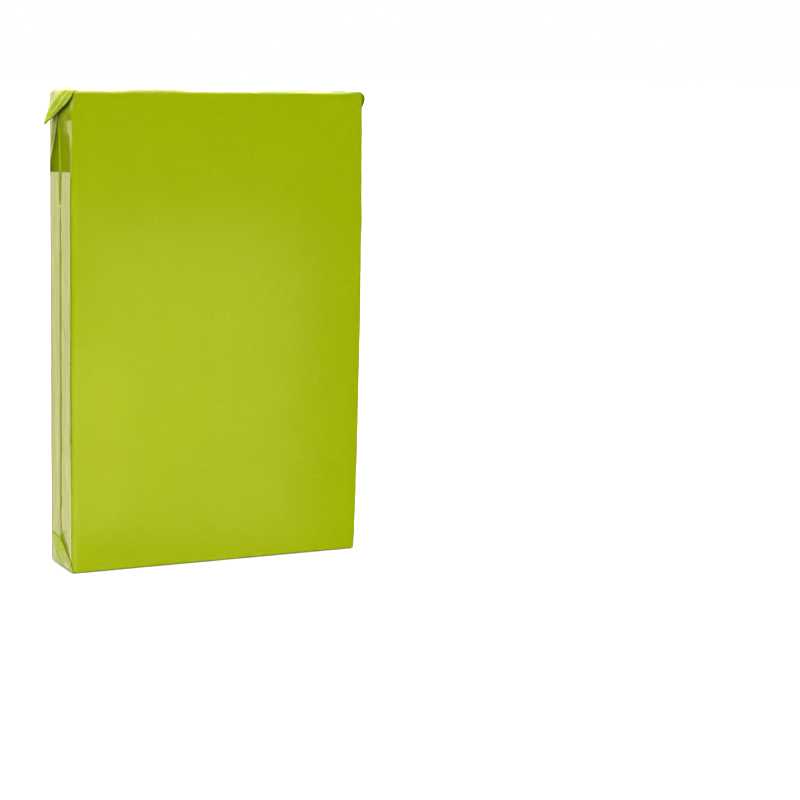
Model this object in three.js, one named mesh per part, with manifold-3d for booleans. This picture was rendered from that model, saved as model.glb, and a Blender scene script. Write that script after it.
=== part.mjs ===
// Filled and sealed poly mailer bag, standing upright on its folded bottom.
// Millimetres, +Z up. Origin: centre of the flat bottom face.
// Front panel faces -Y, the taped narrow side faces -X, the closure flap lies on the back (+Y).
import * as THREE from 'three';
import { mergeVertices } from 'three/addons/utils/BufferGeometryUtils.js';
import Module from 'manifold-3d';

// ---------- driving dimensions ----------
const W = 302;              // width of the filled bag, along X
const D = 70;               // depth, along Y
const H = 465;              // height, along Z
const CORNER_R = 4;         // rounding of the four vertical edges
const EDGE_R = 3;           // rounding of the top and bottom edges
const SEAM_PROUD = 1.2;     // side seam fin, standing a little proud of the side
const SEAM_FRONT_Y = -1.9;  // the fin lies from here ...
const SEAM_BACK_Y = 0.3;    // ... to here, on the mid-line of the narrow side
const EAR_T = 1.2;          // thickness of a flattened corner ear (two films and the trapped fold)
const LOW_EAR_PROUD = 0.9;  // folded ears that lie flat against a side
const FLAP_OVERLAP = 42;    // closure flap on the back, measured down from the top edge
const FLAP_PROUD = 0.45;
const TAPE_T = 0.3;         // clear packing tape
const TAPE_GAP = 0.3;       // air between the tape and the film under it
const TAPE_TOP = 387;       // straight cut end of the tape
const TAPE_BOTTOM = 2;
const TAPE_FRONT_Y = -30.4; // front edge of the tape on the narrow side

const X0 = -W / 2, X1 = W / 2, Y0 = -D / 2, Y1 = D / 2;

const wasm = await Module();
wasm.setup();

// ---------- helpers ----------
function signedVolume(geometry) {
  const p = geometry.attributes.position, ix = geometry.index;
  const a = new THREE.Vector3(), b = new THREE.Vector3(), c = new THREE.Vector3();
  let v = 0;
  for (let i = 0; i < ix.count; i += 3) {
    a.fromBufferAttribute(p, ix.getX(i));
    b.fromBufferAttribute(p, ix.getX(i + 1));
    c.fromBufferAttribute(p, ix.getX(i + 2));
    v += a.dot(b.cross(c)) / 6;
  }
  return v;
}

function flipFaces(geometry) {
  const ix = geometry.index;
  for (let i = 0; i < ix.count; i += 3) {
    const t = ix.getX(i + 1);
    ix.setX(i + 1, ix.getX(i + 2));
    ix.setX(i + 2, t);
  }
}

function solid(geometry) {
  let g = geometry.clone();
  g.deleteAttribute('normal');
  g.deleteAttribute('uv');
  g = mergeVertices(g, 1e-4);
  if (signedVolume(g) < 0) flipFaces(g);
  return new wasm.Manifold(new wasm.Mesh({
    numProp: 3,
    vertProperties: Float32Array.from(g.attributes.position.array),
    triVerts: Uint32Array.from(g.index.array),
  }));
}

function fromSolid(manifold) {
  const m = manifold.getMesh();
  const g = new THREE.BufferGeometry();
  g.setAttribute('position', new THREE.BufferAttribute(Float32Array.from(m.vertProperties), 3));
  g.setIndex(new THREE.BufferAttribute(Uint32Array.from(m.triVerts), 1));
  g.computeVertexNormals();
  return g;
}

// A closed thin sheet: two grids of points (rows x columns) joined round their rim.
function sheet(outer, inner) {
  const rows = outer.length, cols = outer[0].length, n = rows * cols;
  const pos = [], idx = [];
  for (const grid of [outer, inner]) for (const row of grid) for (const q of row) pos.push(q[0], q[1], q[2]);
  const at = (layer, i, j) => layer * n + i * cols + j;
  const quad = (a, b, c, d) => idx.push(a, b, c, a, c, d);
  for (let i = 0; i < rows - 1; i++) {
    for (let j = 0; j < cols - 1; j++) {
      quad(at(0, i, j), at(0, i + 1, j), at(0, i + 1, j + 1), at(0, i, j + 1));
      quad(at(1, i, j), at(1, i, j + 1), at(1, i + 1, j + 1), at(1, i + 1, j));
    }
    quad(at(0, i, 0), at(1, i, 0), at(1, i + 1, 0), at(0, i + 1, 0));
    quad(at(0, i, cols - 1), at(0, i + 1, cols - 1), at(1, i + 1, cols - 1), at(1, i, cols - 1));
  }
  for (let j = 0; j < cols - 1; j++) {
    quad(at(0, 0, j), at(0, 0, j + 1), at(1, 0, j + 1), at(1, 0, j));
    quad(at(0, rows - 1, j), at(1, rows - 1, j), at(1, rows - 1, j + 1), at(0, rows - 1, j + 1));
  }
  const g = new THREE.BufferGeometry();
  g.setAttribute('position', new THREE.BufferAttribute(Float32Array.from(pos), 3));
  g.setIndex(new THREE.BufferAttribute(Uint32Array.from(idx), 1));
  if (signedVolume(g) < 0) flipFaces(g);
  return g;
}

// Points at the given shares of a crease line's length.
function alongLine(points, shares) {
  const path = new THREE.CurvePath();
  for (let i = 0; i < points.length - 1; i++) {
    path.add(new THREE.LineCurve3(new THREE.Vector3(...points[i]), new THREE.Vector3(...points[i + 1])));
  }
  return shares.map((s) => path.getPointAt(s).toArray());
}

const mid = (a, b, dx = 0) => a.map((v, k) => (v + b[k]) / 2 + (k === 0 ? dx : 0));

// A flat outline in the Y-Z plane, given thickness along X from x0 to x1.
function sidePlate(outline, x0, x1) {
  const shape = new THREE.Shape(outline.map(([y, z]) => new THREE.Vector2(y, z)));
  const g = new THREE.ExtrudeGeometry(shape, { depth: x1 - x0, bevelEnabled: false });
  const basis = new THREE.Matrix4().makeBasis(
    new THREE.Vector3(0, 1, 0), new THREE.Vector3(0, 0, 1), new THREE.Vector3(1, 0, 0));
  basis.setPosition(x0, 0, 0);
  return g.applyMatrix4(basis);
}

function block(x0, x1, y0, y1, z0, z1) {
  const g = new THREE.BoxGeometry(x1 - x0, y1 - y0, z1 - z0);
  return g.translate((x0 + x1) / 2, (y0 + y1) / 2, (z0 + z1) / 2);
}

// ---------- the filled body: rounded rectangle, rounded over at top and bottom ----------
const outline = new THREE.Shape();
outline.moveTo(X0 + CORNER_R, Y0);
outline.lineTo(X1 - CORNER_R, Y0);
outline.absarc(X1 - CORNER_R, Y0 + CORNER_R, CORNER_R, -Math.PI / 2, 0);
outline.lineTo(X1, Y1 - CORNER_R);
outline.absarc(X1 - CORNER_R, Y1 - CORNER_R, CORNER_R, 0, Math.PI / 2);
outline.lineTo(X0 + CORNER_R, Y1);
outline.absarc(X0 + CORNER_R, Y1 - CORNER_R, CORNER_R, Math.PI / 2, Math.PI);
outline.lineTo(X0, Y0 + CORNER_R);
outline.absarc(X0 + CORNER_R, Y0 + CORNER_R, CORNER_R, Math.PI, 1.5 * Math.PI);
const bodyShape = new THREE.ExtrudeGeometry(outline, {
  depth: H - 2 * EDGE_R,
  bevelEnabled: true,
  bevelThickness: EDGE_R,
  bevelSize: EDGE_R,
  bevelOffset: -EDGE_R,
  bevelSegments: 3,
  curveSegments: 4,
});
bodyShape.translate(0, 0, EDGE_R);
let bag = solid(bodyShape);

// ---------- side seams: hot-knife fins along the narrow sides ----------
bag = bag.add(solid(block(X0 - SEAM_PROUD, X0 + 1, SEAM_FRONT_Y, SEAM_BACK_Y, 26, 438)));
bag = bag.add(solid(block(X1 - 1, X1 + SEAM_PROUD, SEAM_FRONT_Y, SEAM_BACK_Y, 30, 436)));

// ---------- closure flap, folded over the top edge and stuck on the back ----------
bag = bag.add(solid(block(X0 + 3.5, X1 - 3.5, Y1 - 1, Y1 + FLAP_PROUD, H - FLAP_OVERLAP, H - 2.2)));

// ---------- top left ear: hangs free over the narrow side, pleated towards its tip ----------
const EAR_SHARES = [0, 0.14, 0.3, 0.46, 0.62, 0.8, 1];
const rearLine = [[-149.6, 33.2, 464.6], [-152.2, 30.6, 460.0], [-153.4, 28.4, 455.6], [-155.2, 23.4, 450.0],
  [-158.5, 15.5, 442.4], [-160.2, 15.4, 437.4], [-161.0, 17.2, 432.1]];
const rearRidge = [[-149.6, -14.4, 465.2], [-152.0, -5.1, 461.8], [-154.5, -0.3, 458.0], [-157.4, 2.7, 451.3],
  [-159.9, 8.0, 442.8], [-161.2, 15.0, 434.4], [-161.2, 16.4, 431.7]];
const frontRidge = [[-149.6, -30.0, 465.4], [-154.2, -22.5, 459.0], [-157.4, -18.4, 451.2], [-159.8, -10.9, 444.1],
  [-161.0, 0.9, 437.9], [-161.2, 15.5, 431.2]];
const frontLine = [[-147.6, -34.0, 464.4], [-150.2, -35.4, 459.5], [-153.0, -36.2, 454.9], [-155.4, -33.0, 451.5],
  [-157.0, -27.7, 448.5], [-158.2, -22.0, 444.9], [-159.3, -10.2, 441.1], [-160.3, 5.6, 435.2], [-161.0, 14.3, 430.8]];
const [earRear, earRidge1, earRidge2, earFront] =
  [rearLine, rearRidge, frontRidge, frontLine].map((line) => alongLine(line, EAR_SHARES));
const earOuter = EAR_SHARES.map((s, i) => [
  earRear[i], earRidge1[i], mid(earRidge1[i], earRidge2[i], 0.4 * (1 - s)), earRidge2[i],
  mid(earRidge2[i], earFront[i]), earFront[i],
]);
earOuter.unshift(earOuter[0].map(([, y]) => [-146.4, Math.max(-31, Math.min(31, y)), 463]));
const earInner = earOuter.map((row, i) => row.map(([x, y, z]) => [x + EAR_T, y, z - (i < 2 ? 2 : 0.5)]));
bag = bag.add(solid(sheet(earOuter, earInner)));

// ---------- bottom left ear: folded up against the narrow side, held down by the tape ----------
const lowEar = [[-32, 1.6], [4, 1.6], [6.2, 3.3], [13.5, 8.7], [21.7, 16.4], [28.1, 24.8], [26.8, 30.2],
  [12, 28.3], [3.4, 29], [-6.3, 25], [-15.7, 20.6], [-25.3, 13.6], [-32, 7.6]];
bag = bag.add(solid(sidePlate(lowEar, X0 - LOW_EAR_PROUD, X0 + 1.5)));

// ---------- right side ears: top one folded down with a small lump at its front, bottom one folded up ----------
const topRow = [-33.5, -30, -25, -17, 0, 33];
const EAR_DROP = 36;
const rightOuter = [0, 0.08, 0.19, 0.36, 0.66, 1].map((s) => topRow.map((y, j) => {
  const yy = y * (1 - s * 0.97);
  const z = H - 2.6 - s * EAR_DROP;
  const lump = 3.3 * Math.exp(-(((yy + 28) / 5) ** 2 + ((z - 458.3) / 4.2) ** 2));
  return [X1 + (s === 0 ? -0.6 : LOW_EAR_PROUD) + lump * (j > 0 ? 1 : 0.6), yy, z];
}));
const rightInner = rightOuter.map((row) => row.map(([, y, z]) => [X1 - 1.5, y, z]));
bag = bag.add(solid(sheet(rightOuter, rightInner)));
bag = bag.add(solid(sidePlate([[-31, 2], [31, 2], [1.5, 36.5], [-1.5, 36.5]], X1 - 1.5, X1 + LOW_EAR_PROUD)));

// ---------- clear tape down the narrow side, bent round the rear corner ----------
const film = -X0 + TAPE_GAP;                    // inner face of the tape on the plain film
const overSeam = -X0 + SEAM_PROUD + TAPE_GAP + 0.05;
const overEar = -X0 + LOW_EAR_PROUD + TAPE_GAP + 0.05;
const tapeColumns = [
  [TAPE_FRONT_Y, film], [-16, film], [SEAM_FRONT_Y - 2.6, film], [SEAM_FRONT_Y - 0.2, overSeam],
  [SEAM_BACK_Y + 0.2, overSeam], [SEAM_BACK_Y + 3.2, film], [18, film], [28.9, film],
];
const tapeAngles = [0, 20, 40, 60].map((d) => THREE.MathUtils.degToRad(d));
const tapeRows = [TAPE_BOTTOM, 8, 20, 31.2, 37, 70, 120, 180, 240, 300, 350, TAPE_TOP];
function tapeGrid(lift) {
  return tapeRows.map((z) => {
    const row = tapeColumns.map(([y, x]) => [-((z < 33 ? Math.max(overEar, x) : x) + lift), y, z]);
    const r = CORNER_R + TAPE_GAP + lift;
    for (const a of tapeAngles) row.push([X0 + CORNER_R - r * Math.cos(a), Y1 - CORNER_R + r * Math.sin(a), z]);
    return row;
  });
}
const tapeSheet = sheet(tapeGrid(TAPE_T), tapeGrid(0));

// ---------- scene graph ----------
const filmMaterial = new THREE.MeshStandardMaterial({ color: 0xa6b808, roughness: 0.38, metalness: 0 });
const tapeMaterial = new THREE.MeshStandardMaterial({
  color: 0xcbcb94, roughness: 0.18, metalness: 0, transparent: true, opacity: 0.5,
});

const mailerBag = new THREE.Mesh(fromSolid(bag), filmMaterial);
mailerBag.name = 'mailer_bag';
const sideTape = new THREE.Mesh(tapeSheet, tapeMaterial);
tapeSheet.computeVertexNormals();
sideTape.name = 'side_tape';

const group = new THREE.Group();
group.add(mailerBag, sideTape);

export default group;
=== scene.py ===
"""Filled, sealed poly mailer bag: film, corner ears, seams, closure flap and the clear tape down one side.
Shapes are worked out in millimetres in the part's own frame and written to the meshes in metres."""
import math

import bpy
import numpy as np
from mathutils import Matrix, Vector

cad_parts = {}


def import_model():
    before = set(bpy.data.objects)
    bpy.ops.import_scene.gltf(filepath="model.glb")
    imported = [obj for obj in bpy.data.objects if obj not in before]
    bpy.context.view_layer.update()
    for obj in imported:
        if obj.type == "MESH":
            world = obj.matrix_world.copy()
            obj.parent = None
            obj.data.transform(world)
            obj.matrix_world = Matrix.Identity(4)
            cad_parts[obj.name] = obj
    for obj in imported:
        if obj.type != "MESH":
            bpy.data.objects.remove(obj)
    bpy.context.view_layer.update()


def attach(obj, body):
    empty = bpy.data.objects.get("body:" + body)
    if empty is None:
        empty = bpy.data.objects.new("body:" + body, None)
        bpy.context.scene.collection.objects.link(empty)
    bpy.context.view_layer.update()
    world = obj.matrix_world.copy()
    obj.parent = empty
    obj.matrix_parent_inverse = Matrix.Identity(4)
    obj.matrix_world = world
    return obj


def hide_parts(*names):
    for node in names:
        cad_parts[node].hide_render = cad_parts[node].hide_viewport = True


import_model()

MM = 0.001
W, D, H = 302.0, 70.0, 465.0
X0, X1, Y0, Y1 = -W / 2, W / 2, -D / 2, D / 2
R = 3.5                      # film radius over the carton's upright edges
RZ = 1.5                     # how far the bend over the top and bottom edges reaches down the sides


# ------------------------------------------------------------------ small helpers
def clamp01(t):
    return np.clip(t, 0.0, 1.0)


def smooth(a, b, t):
    """0 below a, 1 above b, smooth between."""
    s = clamp01((t - a) / (b - a))
    return s * s * (3 - 2 * s)


def bump(t, c, w):
    return np.exp(-((t - c) / w) ** 2)


def waves(u, v, seed, lo, hi, n=14, stretch=(1.0, 1.0)):
    """Smooth seeded noise of about unit size, with wavelengths from lo to hi."""
    rng = np.random.default_rng(seed)
    out = np.zeros(np.broadcast(u, v).shape)
    for _ in range(n):
        lam = math.exp(rng.uniform(math.log(lo), math.log(hi)))
        a = rng.uniform(0, 2 * math.pi)
        out += math.sqrt(2.0 / n) * np.sin(
            2 * math.pi / lam * (u * math.cos(a) / stretch[0] + v * math.sin(a) / stretch[1]) + rng.uniform(0, 2 * math.pi))
    return out


def ridge_line(y, z, pts, height, width, ends=6.0, sharp=1.0):
    """A crease: a ridge of that height and half-width along the polyline pts, fading out at both ends."""
    best = np.full(np.broadcast(y, z).shape, 1e9)
    fade = np.zeros_like(best)
    total = sum(math.dist(pts[i], pts[i + 1]) for i in range(len(pts) - 1))
    run = 0.0
    for (ay, az), (by, bz) in zip(pts[:-1], pts[1:]):
        ly, lz = by - ay, bz - az
        ll = math.hypot(ly, lz)
        t = clamp01(((y - ay) * ly + (z - az) * lz) / (ll * ll))
        d = np.hypot(y - ay - t * ly, z - az - t * lz)
        s = run + t * ll
        f = np.minimum(1.0, np.minimum(s, total - s) / ends)
        closer = d < best
        best = np.where(closer, d, best)
        fade = np.where(closer, f, fade)
        run += ll
    return height * clamp01(fade) * clamp01(1 - best / width) ** sharp


def polyline(zs, values, z):
    """Piecewise-linear value at z (zs rising)."""
    return np.interp(z, zs, values)


def mesh_object(name, verts_mm, faces, material, smooth_faces=True):
    me = bpy.data.meshes.new(name)
    me.from_pydata([tuple(v) for v in (np.asarray(verts_mm) * MM).tolist()], [], faces)
    me.validate()
    me.update()
    ob = bpy.data.objects.new(name, me)
    bpy.context.scene.collection.objects.link(ob)
    if smooth_faces:
        me.polygons.foreach_set("use_smooth", [True] * len(me.polygons))
    if material is not None:
        me.materials.append(material)
    return ob


# ------------------------------------------------------------------ shape of the film on the two narrow sides
# outline of the ear folded up at the bottom of the left side; y is measured round the upright bend, past -31.5
LEAF_FRONT = [(-35.4, 0.6), (-35.0, 1.5), (-33.4, 4.0), (-31.5, 8.1), (-29.7, 10.7), (-24.5, 13.9), (-15.7, 18.8), (-7.2, 23.9), (-1.2, 27.4), (5.6, 29.5),
              (13.2, 30.8), (22.6, 30.4)]
LEAF_REAR = [(-3.0, 0.8), (0.6, 2.2), (5.6, 5.6), (12.6, 12.6), (18.4, 19.8), (22.0, 27.0), (23.2, 30.0)]


def seam_shape(z):
    """Height of the side seam's ridge, and where its front foot lies, along the left side."""
    wob = 0.5 * np.sin(z / 7.3 + 1.0) + 0.5 * np.sin(z / 17.1 + 2.2) + 0.4 * np.sin(z / 3.9)
    h = np.interp(z, [0, 24, 40, 70, 336, 347, 355, 362, 374, 385, 436, 447], [0.1, 0.25, 1.1, 1.6, 1.6, 1.5, 1.3, 1.4, 1.45, 1.3, 1.2, 0.8])
    foot = np.interp(z, [0, 30, 100, 336, 347, 352, 358, 364, 375, 386], [-5.2, -5.6, -6.1, -6.0, -5.3, -4.9, -5.2, -6.0, -6.9, -7.1])
    return h + 0.05 * wob, foot + 0.30 * wob * smooth(395, 380, z)


def seam_crest(z):
    """Where the seam's crest runs: nearly straight, then bending back to the root of the ear."""
    return np.interp(z, [0, 40, 100, 336, 347, 362, 380, 390, 398, 412, 421, 426, 437, 446],
                     [-2.9, -3.1, -3.4, -3.5, -3.3, -2.1, -1.7, -2.2, -2.0, -1.4, 0.0, 1.1, 3.0, 5.0])


def pocket_crease(z):
    return np.interp(z, [350, 370, 380, 386, 392, 398, 404, 411.1, 417.9, 422.8, 429.6, 437.3, 446.0],
                     [35.5, 34.5, 33.0, 31.0, 28.0, 24.6, 20.8, 16.4, 12.8, 9.8, 7.8, 6.8, 7.2])


def around(x, y):
    """The y of a point of the left side, measured along the film round the front bend."""
    a = np.arctan2(np.maximum(0, -31.5 - y), np.maximum(1e-6, X0 + R - x))
    bend = np.where((y < -31.5) & (x < X0 + R), -31.5 - R * a, y)
    return np.where((y < -33.0) & (x >= X0 + R), -31.5 - R * math.pi / 2 - (x - X0 - R), bend)


def left_height(y, z, detail=1.0):
    """How far the film stands out from the plane of the left side, in mm."""
    y, z = np.broadcast_arrays(np.asarray(y, float), np.asarray(z, float))
    h = 0.30 * (1 - (y / 35) ** 2)
    h = h + 0.09 * detail * waves(y, z, 21, 16, 60, stretch=(0.7, 2.2))
    hs, foot = seam_shape(z)
    crest = seam_crest(z)
    # above the tape the front of the ridge is one long slope from the front bend
    open_ = smooth(384, 400, z)
    near = clamp01((y - foot) / (crest - foot))
    long = clamp01((y + 29.0) / (crest + 29.0)) ** 1.25
    front = near * (1 - open_) + long * open_
    rear = clamp01(1 - (y - crest) / (2.7 - 1.3 * open_))
    h = h + hs * np.where(y < crest, front, rear)
    # shaded pocket behind the seam, above the tape: a valley with a slanting crease at its rear
    f = smooth(350, 388, z) * clamp01((447.0 - z) / 22.0)
    yc = pocket_crease(z)
    y1 = seam_crest(z) + 1.4
    lo, hi = -0.9 * f, 1.35 * f * smooth(378, 398, z)
    flank = lo + (hi - lo) * clamp01((y - y1) / np.maximum(yc - y1, 1.0)) ** 1.3
    back = hi * clamp01((35.5 - y) / np.maximum(35.5 - yc, 1.5)) ** 0.8
    pocket = np.where(y < yc, flank, back) * smooth(-0.4, 1.4, y - seam_crest(z))
    h = h + pocket
    # slack lip of film at the front of the side, under the ear
    h = h + 0.35 * bump(y, -27, 5) * bump(z, 428, 26) + 0.25 * bump(y, -15, 7) * bump(z, 440, 12)
    h = h + ridge_line(y, z, [(-31.5, 452), (-31.4, 430), (-31.4, 388)], 0.35, 2.2, ends=14)
    h = h - 0.9 * smooth(447, 454, z) * smooth(-31, -26, y)
    h = h - np.interp(z, [0, 60, 120, 200, 280, 400, 465], [1.55, 1.35, 1.1, 1.1, 0.75, 0.6, 0.3]) * clamp01((y - 23.0) / 8.5) ** 1.6
    h = h + ridge_line(y, z, [(-12, 448), (-20, 424), (-27, 404)], 0.3, 3.0, ends=12)
    return h


def left_film(y, z):
    """The side's relief as built: what stands out dies away at the very bottom, the rear turn does not."""
    h = left_height(y, z)
    return np.where(h > 0, h * smooth(0, 5, z), h)


def right_height(y, z):
    y, z = np.broadcast_arrays(np.asarray(y, float), np.asarray(z, float))
    h = 0.30 * (1 - (y / 35) ** 2)
    h = h + 0.16 * waves(y, z, 31, 14, 70, stretch=(0.7, 2.4))
    bead = 0.12 * np.sin(z / 2.1) * np.sin(z / 7.7 + 1) + 0.2 * np.sin(z / 23.0)
    crest = 0.2 + 0.5 * np.sin(z / 41.0)
    h = h + (1.35 + bead) * clamp01(1 - np.abs(y - crest) / np.where(y < crest, 1.3, 3.4)) * smooth(20, 34, z) * (1 - smooth(436, 446, z))
    for pts, hh, ww in (
        ([(-31, 446), (-18, 416), (-6, 372)], 0.6, 3.2), ([(31, 446), (20, 410), (7, 360)], 0.55, 3.4),
        ([(-31, 20), (-16, 52), (-5, 96)], 0.5, 3.2), ([(31, 20), (18, 58), (6, 110)], 0.45, 3.4),
        ([(-30, 330), (-24, 250), (-28, 180)], 0.3, 4.0), ([(28, 300), (22, 230), (27, 150)], 0.3, 4.0),
    ):
        h = h + ridge_line(y, z, pts, hh, ww, ends=22)
    return h


def poly_signed(y, z, poly):
    """Distance to a closed outline, negative inside."""
    y, z = np.broadcast_arrays(np.asarray(y, float), np.asarray(z, float))
    best = np.full(y.shape, 1e9)
    inside = np.zeros(y.shape, bool)
    n = len(poly)
    for i in range(n):
        ay, az = poly[i]
        by, bz = poly[(i + 1) % n]
        ly, lz = by - ay, bz - az
        t = clamp01(((y - ay) * ly + (z - az) * lz) / max(ly * ly + lz * lz, 1e-9))
        best = np.minimum(best, np.hypot(y - ay - t * ly, z - az - t * lz))
        cross = ((az > z) != (bz > z)) & (y < (by - ay) * (z - az) / (bz - az if bz != az else 1e-9) + ay)
        inside ^= cross
    return np.where(inside, -best, best)


def line_distance(y, z, pts):
    best = np.full(np.broadcast(y, z).shape, 1e9)
    for (ay, az), (by, bz) in zip(pts[:-1], pts[1:]):
        ly, lz = by - ay, bz - az
        t = clamp01(((y - ay) * ly + (z - az) * lz) / (ly * ly + lz * lz))
        best = np.minimum(best, np.hypot(y - ay - t * ly, z - az - t * lz))
    return best


LEAF = LEAF_FRONT + LEAF_REAR[::-1]


def leaf_height(y, z):
    """The bottom ear folded up under the tape: thick at its front fold, thin at the back."""
    sd = poly_signed(y, z, LEAF)
    df = line_distance(y, z, LEAF_FRONT)
    full = (0.34 + 0.26 * np.exp(-(df / 6.0) ** 2)) * (0.35 + 0.65 * smooth(0, 12, z))
    return full * smooth(0.0, -1.1, sd) ** 0.8


# ------------------------------------------------------------------ front, back and top panels
def front_height(x, z):
    h = 0.75 * (1 - (x / 151) ** 2) * (1 - ((z - 232) / 234) ** 2)
    h = h + 0.07 * waves(x, z, 3, 55, 190)
    h = h + 0.018 * waves(x, z, 4, 9, 26, stretch=(1.0, 3.5)) * (1 - 0.6 * smooth(20, 110, 151 - np.abs(x)))
    # soft slanting pulls out of the top corners, and two short ticks
    h = h + ridge_line(x, z, [(-96, 462), (-118, 436), (-139, 398)], 0.16, 11, ends=26)
    h = h + ridge_line(x, z, [(-48, 463), (-66, 444), (-96, 418)], 0.10, 12, ends=26)
    h = h + ridge_line(x, z, [(140, 456), (104, 430), (74, 418)], 0.12, 11, ends=26)
    h = h + ridge_line(x, z, [(145, 440), (128, 396), (122, 352)], 0.12, 12, ends=26)
    h = h + ridge_line(x, z, [(-140, 356.5), (-124, 355.6)], 0.10, 2.6, ends=5)
    h = h + ridge_line(x, z, [(-146, 18), (-122, 46), (-104, 88)], 0.12, 11, ends=26)
    h = h + ridge_line(x, z, [(146, 16), (120, 50), (108, 104)], 0.12, 11, ends=26)
    return h


def back_height(x, z):
    h = 0.75 * (1 - (x / 151) ** 2) * (1 - ((z - 232) / 234) ** 2)
    h = h + 0.13 * waves(x, z, 5, 45, 170)
    h = h + 0.03 * waves(x, z, 6, 8, 24, stretch=(1.0, 3.0))
    for pts, hh in (([(-146, 408), (-112, 372), (-92, 318)], 0.22), ([(146, 404), (108, 366), (90, 300)], 0.22),
                    ([(-146, 18), (-116, 52), (-98, 110)], 0.2), ([(146, 16), (112, 56), (96, 120)], 0.2),
                    ([(-70, 418), (-58, 396), (-60, 370)], 0.16), ([(32, 418), (40, 392), (34, 366)], 0.16)):
        h = h + ridge_line(x, z, pts, hh, 9, ends=26)
    return h


def top_height(x, y):
    h = 0.5 * (1 - (x / 151) ** 2) * (1 - (y / 36) ** 2)
    h = h + 0.16 * waves(x, y, 7, 12, 45, stretch=(4.0, 1.0)) * smooth(0, 6, 35 - np.abs(y))
    for pts, hh, ww in (([(-147, -26), (-122, -10), (-70, -6)], 0.45, 4), ([(-147, 26), (-118, 14), (-60, 10)], 0.4, 4),
                        ([(147, -24), (118, -12), (66, -4)], 0.4, 4), ([(147, 25), (124, 12), (76, 8)], 0.4, 4)):
        h = h + ridge_line(x, y, pts, hh, ww, ends=20)
    return h


TOP_FRONT = [(-151, 0.1), (-111, 0.0), (-100, -0.1), (-94, 0.95), (-59, 1.05), (-41, 0.9), (-35, -0.25), (-18, -0.4), (23, -0.5),
             (62, -0.3), (85, -0.5), (106, -0.95), (126, -0.95), (134, -0.35), (144, 0.5), (151, 0.7)]
TOP_REAR = [(-151, -0.6), (-120, -0.1), (-80, 0.0), (-10, -0.5), (50, -0.6), (95, -0.7), (130, -0.6), (151, -0.5)]


def top_edge_lift(x, y):
    """The film's top edges aren't straight lines: they step a little where the film is pulled over the carton."""
    front = np.interp(x, *zip(*TOP_FRONT)) + 0.05 * np.sin(x / 9.0) + 0.04 * np.sin(x / 4.1)
    rear = np.interp(x, *zip(*TOP_REAR))
    t = smooth(-26, 26, y)
    # towards the taped side the top film bends down into the loose ear
    droop = -2.6 * (smooth(-141, -150.5, x) * smooth(-33.5, -27, y) + smooth(-147.0, -150.5, x) * smooth(-35.2, -31.5, y) * smooth(-27, -33, y) * 0.7)
    return front * (1 - t) + rear * t + droop


# ------------------------------------------------------------------ the filled body
def steps(a, b, size):
    n = max(1, round((b - a) / size))
    return np.linspace(a, b, n + 1)


def axis_points(lo, hi, r, spans):
    """Lattice positions: even angles round both edge fillets, and the given spans between them."""
    t = r * np.tan(np.linspace(0, math.pi / 4, 6))
    pts = list(lo + r - t[::-1])
    for a, b, size in spans:
        pts += list(steps(a, b, size))[1:]
    pts += list(hi - r + t)[1:]
    return np.array(pts)


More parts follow.
